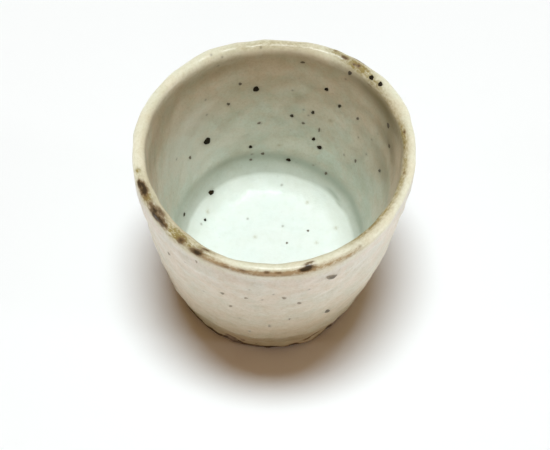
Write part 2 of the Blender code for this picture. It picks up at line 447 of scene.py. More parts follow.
# iron specks seen in the photograph: pixel, width and height in pixels, tilt in degrees, and how far glaze
# greys each; then the pixels of faint stains and of yellow ones
specks = {
    "inside": [
        (256.7, 89, 7.2, 6.4, 15, 0), (207, 141, 9.2, 6.2, 52, 0), (211.5, 192.6, 6.2, 5.8, 0, 0),
        (240, 83.6, 4.2, 3, 0, 0.36), (228.5, 104, 3.6, 3, 0, 0.3), (250, 147, 3.8, 3.8, 0, 0),
        (262.5, 153.5, 3.8, 3, 0, 0.3), (251, 160, 3.6, 2.4, 0, 0.35), (289, 160, 5.2, 3.8, -10, 0),
        (292.4, 116, 4.2, 3.6, 0, 0.1), (313, 113, 4.2, 3.6, 0, 0.1), (303, 122.7, 4, 2.6, -20, 0.4),
        (313.6, 138.6, 4, 3.8, 0, 0), (319, 147, 5, 4, -15, 0), (325.7, 89.4, 4.4, 3.8, -20, 0),
        (339.3, 105.7, 4, 3.6, 0, 0.1), (357.8, 118, 3, 3.6, 0, 0.4), (349.3, 73, 4.2, 4.2, 0, 0.2),
        (372, 78, 4.6, 5.2, 0, 0), (380.8, 84.3, 5, 4.6, 0, 0), (326, 173.6, 3.2, 3.6, 0, 0.3),
        (184.6, 214.7, 2.2, 4.6, -10, 0.1), (205.6, 220, 3.2, 3.2, 0, 0), (308, 231, 2.5, 2.5, 0, 0.3),
        (286.6, 243, 2.5, 2.3, 0, 0.35), (303.5, 62, 5.6, 2.6, 0, 0.42), (189.7, 158, 2.8, 3.6, 0, 0.38),
        (259, 123.4, 4.4, 2.4, 10, 0.45), (388, 125, 3, 6.4, 10, 0.3), (319.6, 130, 2.2, 5, -10, 0.4),
        (389, 146, 2.6, 5, 10, 0.36), (379.7, 171, 2.8, 3.8, 0, 0.3), (356, 161, 2.2, 4.6, -5, 0.4),
    ],
    "outside": [
        (332.5, 277, 10.5, 4.2, 22, 0.42), (327, 311, 5.4, 3.6, 20, 0.34), (169, 253, 2.6, 5.6, 25, 0.9),
        (196, 262, 2.2, 4.4, 25, 1), (222, 293.5, 5, 2.8, -20, 0.8), (230, 306, 4, 2.8, 0, 0.9),
        (283.5, 298, 5.4, 2.8, 0, 0.8), (298.5, 303, 4.8, 3.2, 0, 0.8), (270, 326, 3.6, 3.4, 0, 0.9),
        (249, 331, 3.6, 2.6, 0, 0.9), (290, 319, 2.8, 3.4, 0, 0.9), (246, 298, 4.4, 2.4, 0, 1),
    ],
    "faint": [
        (206, 100), (206.5, 115), (177, 159), (303, 110), (308, 115), (312.7, 165.6), (366, 154),
        (344, 155), (201, 223.6), (248, 219), (283, 225.6), (281.5, 184.5), (260.7, 47.5), (358, 137),
        (372, 140), (346, 79), (222, 57), (218, 66), (211, 55), (252, 154), (320, 148), (293, 91),
        (250, 290), (273, 294.5), (204, 291), (180, 278), (185, 262), (262, 300), (240, 318), (310, 290),
    ],
    "yellow": [
        (279, 146), (254.7, 236.6), (330.5, 120.5), (336.6, 227.6), (316, 242.6), (307, 202.6),
        (208, 212),
    ],
}

# iron on the lip in the photograph: pixel, half length along and half width across in mm, strength
lipMarks = {
    "iron": [
        (143, 189, 2.6, 1.3, 1.6), (140, 183, 1.2, 0.9, 1), (156.5, 215.5, 4.2, 1.1, 1.3),
        (158, 212, 4.4, 1.8, 0.75), (164, 224, 1.4, 1.2, 0.6), (181, 240, 1.6, 1.4, 1.1),
        (197, 252, 2.4, 1.1, 1.35), (209, 251.3, 2.6, 0.5, 0.9), (226, 266.5, 1.4, 0.5, 0.8),
        (241, 270.5, 1.6, 0.45, 0.7), (268, 272.8, 1, 0.5, 1.1), (279, 273.4, 1.4, 0.4, 0.8),
        (304, 269.5, 1.6, 0.6, 0.9), (310, 267.3, 2, 0.9, 1.6), (309, 262.5, 1.5, 0.45, 0.9),
        (335.5, 51, 0.6, 0.4, 0.7), (343.5, 57, 0.8, 0.6, 0.9), (347, 58.5, 0.5, 0.4, 0.7),
        (354, 64, 0.5, 0.4, 0.9), (359, 66, 0.5, 0.4, 0.9), (357, 59.5, 2, 0.35, 1.05),
        (350, 60, 4.5, 1.5, 0.35), (362, 69, 3, 1.4, 0.3), (364.5, 64.5, 1.8, 0.35, 1.05),
        (369.6, 85.5, 1.2, 0.5, 0.6), (404, 132, 0.7, 0.6, 1), (404, 173, 0.8, 0.5, 0.8),
        (376, 222.5, 2.4, 0.45, 0.55), (366, 232.5, 1.8, 0.4, 0.45), (360, 246, 0.8, 0.5, 0.5),
    ],
    "olive": [
        (138, 171, 0.9, 0.8, 1.2), (141.5, 186, 4.5, 2, 0.9), (147, 197, 1.4, 1.4, 1.2),
        (155, 210.5, 6, 2.4, 0.6), (166, 226.5, 4, 2.2, 0.7), (178.5, 235.5, 3, 1.8, 1.4),
        (191, 245, 4.5, 1.9, 0.75), (205, 253, 4, 1.5, 0.7), (356, 239, 4, 1.2, 0.75),
        (370, 227, 5, 1.2, 0.95), (382, 214, 5, 1.2, 0.8), (395, 195, 5, 1, 0.8), (402, 178, 5, 1, 0.9),
        (405, 158, 5, 1, 0.8), (404, 143, 4, 1, 0.8), (403, 131, 4, 1, 0.8), (401, 165, 7, 2, 0.38),
        (401, 140, 7, 2, 0.42), (394, 114, 6, 2, 0.45), (384, 97, 5, 2, 0.5), (374, 82, 3, 1.6, 0.95),
        (362, 69, 3.5, 1.6, 1.15), (351, 62, 5, 1.7, 1.1), (337, 52.5, 3, 1.3, 0.9),
        (305, 46, 7, 1.6, 0.4), (285, 45, 7, 1.6, 0.4), (262, 45, 7, 1.6, 0.4), (240, 48, 7, 1.6, 0.35),
        (141, 140, 8, 1.6, 0.1), (150, 112, 8, 1.6, 0.1),
    ],
    "amber": [
        (205, 258, 4, 1, 0.6), (216, 262.5, 4.5, 1, 0.85), (229, 268.2, 4, 0.9, 0.8),
        (244, 271.8, 4.5, 0.9, 0.9), (259, 273.8, 4.5, 0.9, 0.9), (273, 274.5, 4.5, 0.9, 0.9),
        (287, 273.8, 4.5, 0.9, 0.9), (300, 271.5, 4, 1, 0.8), (314, 268.2, 4, 1, 0.7),
        (329, 263.6, 4.5, 1, 0.65), (343.5, 258.2, 4.5, 1, 0.65), (355.5, 251.2, 3.5, 1, 0.55),
        (359, 243, 5, 1.6, 0.2), (373, 232, 6, 1.8, 0.15), (386, 218, 6, 1.8, 0.15),
        (395, 197, 6, 1.8, 0.12), (403, 178, 6, 1.8, 0.08), (406, 158, 6, 1.8, 0.08),
        (405, 140, 6, 1.8, 0.12), (398, 116, 6, 1.6, 0.15), (386, 98, 6, 1.6, 0.15),
    ],
}

# iron burnt through at the glaze's lower edge, with painted contact shade: pixel, half length and half width
# in mm, strength
footIronAndShade = [
    (228, 338.5, 1.4, 0.55, 2), (238, 343, 1.5, 0.5, 1.9), (251, 346, 2.4, 0.45, 1.7),
    (264, 347.5, 2.4, 0.45, 1.8), (275, 347.8, 2, 0.45, 1.8), (296, 343.8, 0.9, 0.55, 2),
    (315, 333.5, 1.4, 0.6, 1.9), (328, 328.5, 1.4, 0.6, 1.7), (340, 319.5, 1, 0.7, 2),
    (208, 327, 2.6, 0.6, 1.7), (306, 339.5, 2.2, 0.4, 1.3), (218, 333.5, 2.6, 0.6, 1.7),
    (199, 319, 2.6, 0.6, 1.5), (191, 311, 2.6, 0.6, 1.3), (334, 324, 2.2, 0.5, 1.2),
]

# thin brown glaze and painted shade inside under the lip and on the right wall: pixel, half length along and
# half width across in mm, strength
insideWashAndShade = [
    (387, 98, 9, 4.5, 0.85), (391, 122, 9, 4.5, 0.75), (391, 148, 9, 4.5, 0.75), (368, 84, 9, 4.5, 0.75),
    (384, 172, 7, 4, 0.6), (215, 70, 9, 3.5, 0.3), (168, 107, 9, 4, 0.4), (154, 150, 9, 3.5, 0.35),
    (375, 150, 12, 8, 0.2), (362, 175, 10, 8, 0.2), (302, 125, 10, 5, 0.15),
]

# painted light on the inner wall's left side, and a darker line near the floor's right edge, in those units
insidePaintedLight = [
    (178, 150, 14, 9, 0.5), (203, 160, 12, 8, 0.4), (252, 140, 10, 5, 0.35), (195, 122, 9, 6, 0.35),
]
floorEdgeLine = [(331, 190, 2, 0.5, 0.8), (335.5, 197, 2.2, 0.5, 0.95), (339.5, 204.5, 1.8, 0.45, 0.8)]

flatPoints = allPoints.reshape(-1, 3)
flatNormals = allNormals.reshape(-1, 3)
columns = cup["around"]
shownAt = toPhoto(flatPoints)
towardEye = np.einsum("ij,ij->i", flatNormals, cameraAxes()[3] - flatPoints) > 0


# the place that shows at a pixel: of those that face the camera, the nearest in the photograph;
# inside and outside never show at one pixel, so the side is named and the lip counts with both
def placeAt(pixel, side):
    first, last = (0, lipEnd) if side == "inside" else (insideEnd, len(allReach))
    rows = slice(first * columns, last * columns)
    miss = np.linalg.norm(shownAt[rows] - np.array(pixel), axis=1) + np.where(towardEye[rows], 0, 1e6)
    return first * columns + int(np.argmin(miss))


# scatter that the photograph doesn't fix: how many places, and the seed of their draw
scatter = {
    "insideSpecks": (70, 33),
    "outsideSpecks": (90, 34),
    "insideStains": (170, 41),
    "outsideStains": (240, 42),
}
speckSeed = 31
stainSeed = 43
outlineSeed = 51

# specks out of the photograph's view: half sizes in mm, the lowest reach, greyness outside and inside
unseen = {"halfMm": (0.4, 0.75), "lowest": 40 * mm, "outside": 0.8, "inside": 0.3}

# stains: width and strength of faint and of yellow ones, a speck's halo in its half sizes and the halo's
# strength, less where glaze greys the speck; then the ranges of the seeded ones, widths in mm
stains = {
    "faint": (0.5 * mm, 0.6),
    "yellow": (0.6 * mm, 0.6),
    "halo": 0.8,
    "haloStrength": 0.4,
    "haloLoss": 0.25,
    "looseMm": (0.25, 0.5),
    "looseStrength": (0.08, 0.32),
}


# random places on a span: rows weighted by their radius, any angle
def scattered(span, count, seed):
    draw = np.random.default_rng(seed)
    rows = np.arange(len(allReach))[spans[span]]
    weight = np.interp(allReach[rows], lengths, section[:, 0])
    picked = draw.choice(rows, count, p=weight / weight.sum())
    return picked * columns + draw.integers(0, columns, count)


# soft marks: each adds a bell of its strength about its centre, stretched along the lip
def softMarks(marks, span, side):
    rows = np.arange(len(allReach))[spans[span]]
    points = allPoints[rows]
    mask = np.zeros(points.shape[:2])
    for x, y, along, across, strength in marks:
        at = placeAt((x, y), side)
        centre = flatPoints[at]
        radial = np.array([centre[0], centre[1], 0]) / np.hypot(centre[0], centre[1])
        tangent = np.array([-radial[1], radial[0], 0])
        away = points - centre
        run = away @ tangent
        rest = np.linalg.norm(away - run[..., None] * tangent, axis=-1)
        mask += strength * np.exp(-(run / (along * mm)) ** 2 - (rest / (across * mm)) ** 2)
    return mask


# soft spots under the glaze: a bell about each place, over the whole cup
def softSpots(places, widths, strengths):
    mask = np.zeros(len(flatPoints))
    for at, width, strength in zip(places, widths, strengths):
        near = np.abs(flatPoints - flatPoints[at]).max(axis=1) < 3 * width
        away = np.linalg.norm(flatPoints[near] - flatPoints[at], axis=1)
        mask[near] += strength * np.exp(-(away / width) ** 2)
    return mask.reshape(allPoints.shape[:2])


# axes of each speck on the surface: those of the photograph, carried along the line of sight to the surface,
# and drawn out on a steep wall only as far as the slant allows
def drawnAxes(places, tilts, slant=0.35):
    forward, right, up, eye = cameraAxes()
    sight = flatPoints[places] - eye
    depth = sight @ forward
    sight /= np.linalg.norm(sight, axis=1, keepdims=True)
    normals = flatNormals[places]
    facing = np.minimum(np.einsum("ij,ij->i", sight, normals), -slant)
    axes = []
    for turn in (tilts, tilts + math.pi / 2):
        drawn = np.cos(turn)[:, None] * right + np.sin(turn)[:, None] * up
        slide = np.einsum("ij,ij->i", drawn, normals) / facing
        axes.append(drawn - sight * slide[:, None])
    return axes[0], axes[1], depth / photo["focalPixels"]


# axes of specks out of view: a level line on the surface, turned by the tilt, and the line across it
def looseAxes(places, tilts):
    normals = flatNormals[places]
    guide = np.where(np.abs(normals[:, 2:]) > 0.8, np.array([[1.0, 0, 0]]), np.array([[0, 0, 1.0]]))
    level = np.cross(guide, normals)
    level /= np.linalg.norm(level, axis=1, keepdims=True)
    rise = np.cross(normals, level)
    first = np.cos(tilts)[:, None] * level + np.sin(tilts)[:, None] * rise
    return first, np.cross(normals, first)


# every speck: place, half axes in metres, greyness; those of the photograph, and seeded ones out of its view
# and above the brown lower wall
def listSpecks():
    rows = [(placeAt(row[:2], side), *row[2:]) for side in ("inside", "outside") for row in specks[side]]
    seen = np.array(rows)
    places = seen[:, 0].astype(int)
    first, second, pixel = drawnAxes(places, np.radians(seen[:, 3]))
    halfFirst = first * (0.5 * seen[:, 1] * pixel)[:, None]
    halfSecond = second * (0.5 * seen[:, 2] * pixel)[:, None]
    draw = np.random.default_rng(speckSeed)
    loose = np.concatenate([scattered("inside", *scatter["insideSpecks"]),
                            scattered("outside", *scatter["outsideSpecks"])])
    loose = loose[~towardEye[loose] & (allReach[loose // columns] < unseen["lowest"])]
    across, along = looseAxes(loose, draw.uniform(0, math.pi, len(loose)))
    sizes = draw.uniform(*unseen["halfMm"], (2, len(loose), 1)) * mm
    grey = np.where(loose // columns > insideEnd, unseen["outside"], unseen["inside"])
    return (np.concatenate([places, loose]), np.vstack([halfFirst, across * sizes[0]]),
            np.vstack([halfSecond, along * sizes[1]]), np.concatenate([seen[:, 4], grey]))


speckPlaces, speckFirst, speckSecond, speckGrey = listSpecks()
print("specks:", len(speckPlaces))


# stains under the glaze: faint specks of the photograph, a halo round each speck, and a seeded scatter
def fleckField():
    faint = [placeAt(pixel, "inside" if pixel[1] < photo["frontLipRow"] else "outside")
             for pixel in specks["faint"]]
    loose = np.concatenate([scattered("inside", *scatter["insideStains"]),
                            scattered("outside", *scatter["outsideStains"])])
    draw = np.random.default_rng(stainSeed)
    halo = stains["halo"] * (np.linalg.norm(speckFirst, axis=1) + np.linalg.norm(speckSecond, axis=1))
    width, strength = stains["faint"]
    places = np.concatenate([faint, speckPlaces, loose])
    widths = np.concatenate([np.full(len(faint), width), halo,
                             draw.uniform(*stains["looseMm"], len(loose)) * mm])
    strengths = np.concatenate([np.full(len(faint), strength),
                                stains["haloStrength"] - stains["haloLoss"] * speckGrey,
                                draw.uniform(*stains["looseStrength"], len(loose))])
    return softSpots(places, widths, strengths)


# darker ring in the crease, pooled glaze and painted shade: how far above it the ring lies, its tilt, width
# and depth, and the angles round the cup of the tilt and of the deepest place
pool = {
    "above": 2.3 * mm,
    "tilt": 1.5 * mm,
    "tiltTurn": math.radians(10),
    "width": 1.9 * mm,
    "depth": 0.47,
    "swing": 0.53,
    "deepTurn": math.radians(50),
}

# painted shade on the lower wall: strength of a dark line at the trim line, how far below that line it lies,
# and its width; then the reach over which the lower wall darkens, and how far round to the cup's left and
# right, as a cosine
lowWallShade = {"line": 0.5, "drop": 0.3 * mm, "width": 0.8 * mm, "below": (48 * mm, 56 * mm), "sides": (0.35, 0.8)}

# iron burnt along the lower edge and painted contact shade: mean, swing and bounds of its strength, and its
# width
burntAndShade = {"mean": 1.15, "swing": 0.6, "bounds": (0.3, 1.9), "width": 0.75 * mm}

flecks = fleckField()
ironAndShadeMask, amberMask, oliveMask, paintedLightMask, washAndShadeMask = np.zeros((5, *allPoints.shape[:2]))
ironAndShadeMask[spans["brim"]] = softMarks(lipMarks["iron"], "brim", "outside")
ironAndShadeMask[spans["outside"]] += softMarks(footIronAndShade, "outside", "outside")
# iron burnt along the lower edge and painted contact shade, more in some patches than in others
edgeIronAndShade = burntAndShade["mean"] + burntAndShade["swing"] * unevenness(footPoints, *waves["burntAndShadePatches"])
edgeIronAndShade = np.clip(edgeIronAndShade, *burntAndShade["bounds"])
ironAndShadeMask += edgeIronAndShade[None, :] * bell(allReach[:, None], footReach, burntAndShade["width"])
amberMask[spans["brim"]] = softMarks(lipMarks["amber"], "brim", "outside")
oliveMask[spans["brim"]] = softMarks(lipMarks["olive"], "brim", "outside")
yellowPlaces = [placeAt(pixel, "inside") for pixel in specks["yellow"]]
yellowWidth, yellowStrength = stains["yellow"]
oliveMask += softSpots(yellowPlaces, [yellowWidth] * len(yellowPlaces), [yellowStrength] * len(yellowPlaces))
# darker ring in the crease, pooled glaze and painted shade: the ring tilts and is thickest at the back and
# right
poolAndShadeAt = creaseReach + pool["above"] - pool["tilt"] * np.cos(turns - pool["tiltTurn"])
poolAndShadeRing = bell(allReach[:, None], poolAndShadeAt[None, :], pool["width"])
poolAndShadeMask = poolAndShadeRing * (pool["depth"] + pool["swing"] * np.cos(turns - pool["deepTurn"]))[None, :]
poolAndShadeMask[spans["inside"]] += softMarks(floorEdgeLine, "inside", "inside")
# painted light: the inner wall's left side made lighter
paintedLightMask[spans["mouth"]] = softMarks(insidePaintedLight, "mouth", "inside")
# thin brown glaze with painted shade under the lip and on the right wall
underLip = 1 - ease(allReach[spans["mouth"]], -5 * mm, -1 * mm)
washAndShadeMask[spans["mouth"]] = softMarks(insideWashAndShade, "mouth", "inside") * underLip[:, None]
# painted shade at the trim line, and on the cup's two sides below it
washAndShadeMask += lowWallShade["line"] * bell(allReach[:, None], trimLine(turns) + lowWallShade["drop"], lowWallShade["width"])
washAndShadeMask += ease(allReach[:, None], *lowWallShade["below"]) * ease(np.abs(np.cos(turns)), *lowWallShade["sides"])[None, :]
reachField = np.repeat(allReach[:, None] / mm, columns, axis=1)
print("marks placed")


# one socket of a node tree; arithmetic on it adds Math nodes, node() adds any other node
class Wire:
    def __init__(self, tree, socket=None):
        self.tree = tree
        self.socket = socket

    # any node: its settings first, then its inputs, each linked or set
    def node(self, kind, settings=None, inputs=None, out=0):
        made = self.tree.nodes.new(kind)
        for key, value in (settings or {}).items():
            if key == "stops":
                self.fillRamp(made.color_ramp, value)
            else:
                setattr(made, key, value)
        for key, value in (inputs or {}).items():
            if isinstance(value, Wire):
                self.tree.links.new(value.socket, made.inputs[key])
            else:
                made.inputs[key].default_value = value
        return Wire(self.tree, made.outputs[out])

    # this value linked to a shader's socket
    def into(self, shader, name):
        self.tree.links.new(self.socket, shader.inputs[name])

    # this height as a bump of a strength and a distance in metres on a shader's normal
    def bumps(self, shader, strength, distance):
        bump = self.node("ShaderNodeBump", {}, {"Strength": strength, "Distance": distance, "Height": self})
        bump.into(shader, "Normal")

    # a ramp's stops from pairs of place and colour
    def fillRamp(self, ramp, stops):
        while len(ramp.elements) < len(stops):
            ramp.elements.new(0.5)
        for element, (at, colour) in zip(ramp.elements, stops):
            element.position = at
            element.color = (*colour, 1)

    # one Math node for two values, either of which may be a number
    def maths(self, operation, first, second):
        return self.node("ShaderNodeMath", {"operation": operation}, {0: first, 1: second})

    def __add__(self, other):
        return self.maths("ADD", self, other)

    def __radd__(self, other):
        return self.maths("ADD", other, self)

    def __sub__(self, other):
        return self.maths("SUBTRACT", self, other)

    def __rsub__(self, other):
        return self.maths("SUBTRACT", other, self)

    def __mul__(self, other):
        return self.maths("MULTIPLY", self, other)

    def __rmul__(self, other):
        return self.maths("MULTIPLY", other, self)

    # smooth step from 0 to 1 between two values
    def smooth(self, low, high):
        return self.node("ShaderNodeMapRange", {"interpolation_type": "SMOOTHSTEP"},
                         {"Value": self, "From Min": low, "From Max": high})

    # first colour moved toward the second by a factor held between 0 and 1
    def mix(self, factor, first, second, blend="MIX"):
        return self.node("ShaderNodeMix", {"data_type": "RGBA", "blend_type": blend, "clamp_factor": True},
                         {0: factor, 6: first, 7: second}, out=2)

    # fractal noise over Object coordinates, or over another place, stretched if asked
    def noise(self, scale, detail=3.0, roughness=0.55, stretch=None, where=None):
        where = where or self.node("ShaderNodeTexCoord", out="Object")
        if stretch:
            where = self.node("ShaderNodeMapping", {}, {"Vector": where, "Scale": stretch})
        return self.node("ShaderNodeTexNoise", {}, {"Vector": where, "Scale": scale, "Detail": detail,
                                                    "Roughness": roughness})

    # place on the lip in metres: the run round the cup drawn out, the reach across it as it is
    def lipWise(self, drawn):
        where = self.node("ShaderNodeTexCoord", out="Object")
        x, y = (self.node("ShaderNodeSeparateXYZ", {}, {0: where}, out=axis) for axis in ("X", "Y"))
        across = self.attribute("reach") * mm
        return self.node("ShaderNodeCombineXYZ", {}, {0: x * drawn, 1: y * drawn, 2: across})

    # value stored on the mesh's points
    def attribute(self, name):
        return self.node("ShaderNodeAttribute", {"attribute_name": name}, out="Fac")


# new material: its shader at a roughness, and a wire that adds nodes to it
def startMaterial(name, roughness):
    material = bpy.data.materials.new(name)
    material.use_nodes = True
    shader = material.node_tree.nodes["Principled BSDF"]
    shader.inputs["Roughness"].default_value = roughness
    return material, shader, Wire(material.node_tree)


# colour with full alpha
def rgba(colour):
    return (*colour, 1.0)


# glaze colours in scene-linear light, and the reach in mm from the lip's crest at which each one holds
glaze = {
    "colours": [
        (-90.0, (0.765, 0.815, 0.78)),
        (-62.0, (0.765, 0.815, 0.77)),
        (-58.5, (0.75, 0.80, 0.74)),
        (-54.7, (0.76, 0.81, 0.75)),
        # from here the crease ring is darker: glaze colour and painted shade
        (-53.6, (0.565, 0.605, 0.535)),
        (-50.0, (0.565, 0.605, 0.535)),
        (-46.0, (0.62, 0.65, 0.57)),
        (-42.0, (0.68, 0.72, 0.64)),
        (-28.0, (0.74, 0.75, 0.66)),
        (-12.0, (0.82, 0.76, 0.64)),
        (-6.0, (0.80, 0.75, 0.62)),
        (-3.5, (0.72, 0.67, 0.54)),
        (-1.0, (0.79, 0.77, 0.60)),
        (0.5, (0.86, 0.865, 0.705)),
        (2.0, (0.85, 0.855, 0.70)),
        (6.0, (0.82, 0.80, 0.74)),
        (16.0, (0.80, 0.77, 0.69)),
        (30.0, (0.72, 0.69, 0.59)),
        # from here down the outer wall darkens towards the foot: glaze colour and painted shade
        (42.0, (0.61, 0.545, 0.43)),
        (53.5, (0.46, 0.395, 0.28)),
        (56.0, (0.39, 0.325, 0.22)),
        (61.0, (0.34, 0.26, 0.155)),
        (66.0, (0.44, 0.36, 0.23)),
        (68.0, (0.42, 0.34, 0.21)),
    ],
    # colour of the crease ring: pooled glaze and painted shade
    "pool": (0.36, 0.41, 0.33),
    "roughness": 0.46,
    "coat": 0.06,
    "lipCoat": 0.14,            # how much glossier the lip is
    "coatRoughness": 0.18,
    "specular": 0.2,
    "bump": (0.45, 0.4 * mm),   # strength and distance
    "iron": (0.038, 0.024, 0.009),
    "rust": (0.19, 0.115, 0.05),
    "amber": (0.38, 0.27, 0.145),
    "olive": (0.30, 0.24, 0.08),
    # colour of thin brown glaze and of painted shade
    "wash": (0.28, 0.24, 0.135),
    # pale: painted light on the inner wall's left side
    "pale": (0.88, 0.89, 0.82),
    "fleck": (0.16, 0.13, 0.085),
    "warm": (1.0, 0.93, 0.86),
    "cool": (0.91, 0.98, 0.96),
    "blotch": (0.86, 0.83, 0.74),
    "streak": (0.80, 0.82, 0.72),
    "grain": (0.72, 0.68, 0.56),
}

# noises in the glaze: waves per metre, detail and roughness
texture = {
    "cloud": (95, 4, 0.6),
    "tint": (125, 4, 0.62),
    "blotch": (260, 5, 0.66),
    "streak": (420, 3, 0.5),
    "grain": (1300, 4, 0.7),
    "breakup": (1500, 5, 0.68),
    "speckle": (800, 5, 0.6),
    "broadBump": (330, 4, 0.55),
    "fineBump": (900, 4, 0.65),
}


# glaze: a ramp along the section, mottled by noises, then pooled glaze with painted shade in the crease,
# painted light on the left wall, thin glaze with painted shade, then olive, amber and iron broken up along
# the lip, then flecks; each is mixed over the last by its stored value
def glazeMaterial(name):
    material, shader, start = startMaterial(name, glaze["roughness"])
    reach = start.attribute("reach")
    first, last = glaze["colours"][0][0], glaze["colours"][-1][0]
    stops = [((at - first) / (last - first), colour) for at, colour in glaze["colours"]]
    cloud = start.noise(*texture["cloud"])
    innerWall = reach.smooth(-44, -36) * (1 - reach.smooth(-14, -2))
    outerWall = reach.smooth(2, 14) * (1 - reach.smooth(44, 52))
    drift = (cloud - 0.5) * ((innerWall + outerWall) * 4.0 + 1.0)
    along = (reach + drift - first) * (1 / (last - first))
    colour = start.node("ShaderNodeValToRGB", {"stops": stops}, {0: along})
    warmth = start.noise(*texture["tint"]).smooth(0.36, 0.64)
    tint = start.mix(warmth, rgba(glaze["warm"]), rgba(glaze["cool"]))
    onLip = reach.smooth(-7, -2) * (1 - reach.smooth(4, 10))
    tinted = reach.smooth(-54, -44) * 0.55 + 0.15 - onLip * 0.4 - reach.smooth(6, 14) * 0.25
    colour = start.mix(tinted, colour, tint, "MULTIPLY")
    blotch = start.noise(*texture["blotch"]).smooth(0.35, 0.68)
    streak = start.noise(*texture["streak"], (1.0, 1.0, 0.18)).smooth(0.45, 0.75)
    grain = start.noise(*texture["grain"]).smooth(0.40, 0.72)
    offFloor = reach.smooth(-57, -46)
    shades = {"blotch": blotch * (offFloor * 0.30 + 0.08), "streak": streak * 0.16,
              "grain": grain * (offFloor * 0.30 + 0.05)}
    for shade, weight in shades.items():
        colour = start.mix(weight, colour, rgba(glaze[shade]), "MULTIPLY")

    breakup = start.noise(*texture["breakup"], where=start.lipWise(0.55)).smooth(0.25, 0.75)
    # pooled glaze with painted crease shade, painted light on the left wall, thin glaze with painted shade,
    # olive, amber
    layers = {"pool": cloud * 0.5 + 0.62, "pale": 0.8, "wash": 0.8, "olive": breakup * 0.9 + 0.2,
              "amber": breakup * 0.75 + 0.38}
    for layer, weight in layers.items():
        colour = start.mix(start.attribute(layer) * weight, colour, rgba(glaze[layer]))
    speckle = start.noise(*texture["speckle"], where=start.lipWise(0.5)).smooth(0.28, 0.72)
    # iron on the lip; at the foot's edge it is burnt iron and painted contact shade
    iron = start.attribute("iron") * (speckle * 0.9 + 0.5)
    colour = start.mix(iron.smooth(0.08, 0.95) * 0.9, colour, rgba(glaze["rust"]))
    colour = start.mix(iron.smooth(0.50, 1.6) * 0.95, colour, rgba(glaze["iron"]))
    colour = start.mix(start.attribute("fleck").smooth(0.02, 0.9) * 0.9, colour, rgba(glaze["fleck"]))
    colour.into(shader, "Base Color")

    rough = glaze["roughness"] + (blotch - 0.5) * 0.12 + iron.smooth(0.3, 0.8) * 0.15
    rough.into(shader, "Roughness")
    gloss = onLip * glaze["lipCoat"] + glaze["coat"]
    gloss.into(shader, "Coat Weight")
    shader.inputs["Coat Roughness"].default_value = glaze["coatRoughness"]
    shader.inputs["Specular IOR Level"].default_value = glaze["specular"]
    height = start.noise(*texture["broadBump"]) * 0.6 + start.noise(*texture["fineBump"]) * 0.4
    height.bumps(shader, *glaze["bump"])
    return material


# small lens on the glaze for each speck, in shares of its half width
speckForm = {
    "rings": (0.4, 0.72, 0.92, 1.0),
    "sides": 18,
    "rise": 0.18,
    "sink": 0.05,
    "root": 0.25,
    "lobes": ((2, 0.07), (3, 0.09), (5, 0.06)),    # waves round the outline and their size
    "covered": (0.25, 0.5),     # greyness at which glaze begins to cover a speck, and covers it
    "lower": 0.2,               # how much lower a covered speck lies
    "greyShare": 0.72,
}


# specks: rings at shares of the half axes with an uneven outline, lifted by a dome that falls with the
# share squared and lies lower under covering glaze, closed by a crest above and a root below
def speckMesh():
    centre, normal = flatPoints[speckPlaces], flatNormals[speckPlaces]
    half = (np.linalg.norm(speckFirst, axis=1) + np.linalg.norm(speckSecond, axis=1)) / 2
    sides = speckForm["sides"]
    turn = np.linspace(0, 2 * math.pi, sides, endpoint=False)
    draw = np.random.default_rng(outlineSeed)
    phase = draw.uniform(0, 2 * math.pi, (len(half), 3, 1))
    outline = 1
    for index, (lobes, size) in enumerate(speckForm["lobes"]):
        outline = outline + size * np.cos(lobes * turn + phase[:, index])
    share = np.array(speckForm["rings"])[None, :, None]
    spread = share * outline[:, None, :]
    covered = ease(speckGrey, *speckForm["covered"])[:, None]
    rise = speckForm["rise"] * (1 - speckForm["lower"] * covered)
    bulge = rise[:, :, None] * (1 - share ** 2)
    lift = half[:, None, None] * (bulge - speckForm["sink"] * share ** 4)
    rings = (centre[:, None, None] + (spread * np.cos(turn))[..., None] * speckFirst[:, None, None]
             + (spread * np.sin(turn))[..., None] * speckSecond[:, None, None]
             + lift[..., None] * normal[:, None, None])
    crest = centre + normal * half[:, None] * rise
    root = centre - normal * (half * speckForm["root"])[:, None]
    per = len(speckForm["rings"]) * sides + 2
    points = np.concatenate([rings.reshape(len(half), -1, 3), crest[:, None], root[:, None]], axis=1)
    quads = gridQuads(len(speckForm["rings"]), sides, False)
    inner = np.arange(sides)
    outer = inner + (len(speckForm["rings"]) - 1) * sides
    fans = np.vstack([poleFan(per - 2, inner, False), poleFan(per - 1, outer, True)])
    base = (np.arange(len(half)) * per)[:, None, None]
    mesh = meshFrom("iron_specks", points.reshape(-1, 3), (quads + base).reshape(-1, 4),
                    (fans + base).reshape(-1, 3))
    fade = np.concatenate([np.repeat(np.array(speckForm["rings"]) ** 4, sides), [0, 1]])
    grey = speckGrey[:, None] * speckForm["greyShare"]
    tone = grey + covered * fade * (1 - grey)
    layer = mesh.attributes.new("tone", "FLOAT", "POINT")
    layer.data.foreach_set("value", tone.ravel().astype(np.float32))
    return mesh


# specks' colours in scene-linear light, and their noises: waves per metre, detail and roughness
speckFinish = {
    "dark": (0.020, 0.015, 0.008),
    "grey": (0.62, 0.57, 0.46),
    "rust": (0.10, 0.055, 0.02),
    "rusty": (900, 3, 0.6),
    "pitted": (2400, 3, 0.6),
    "roughness": 0.6,
    "specular": 0.05,
    "bump": (0.3, 0.1 * mm),    # strength and distance
}


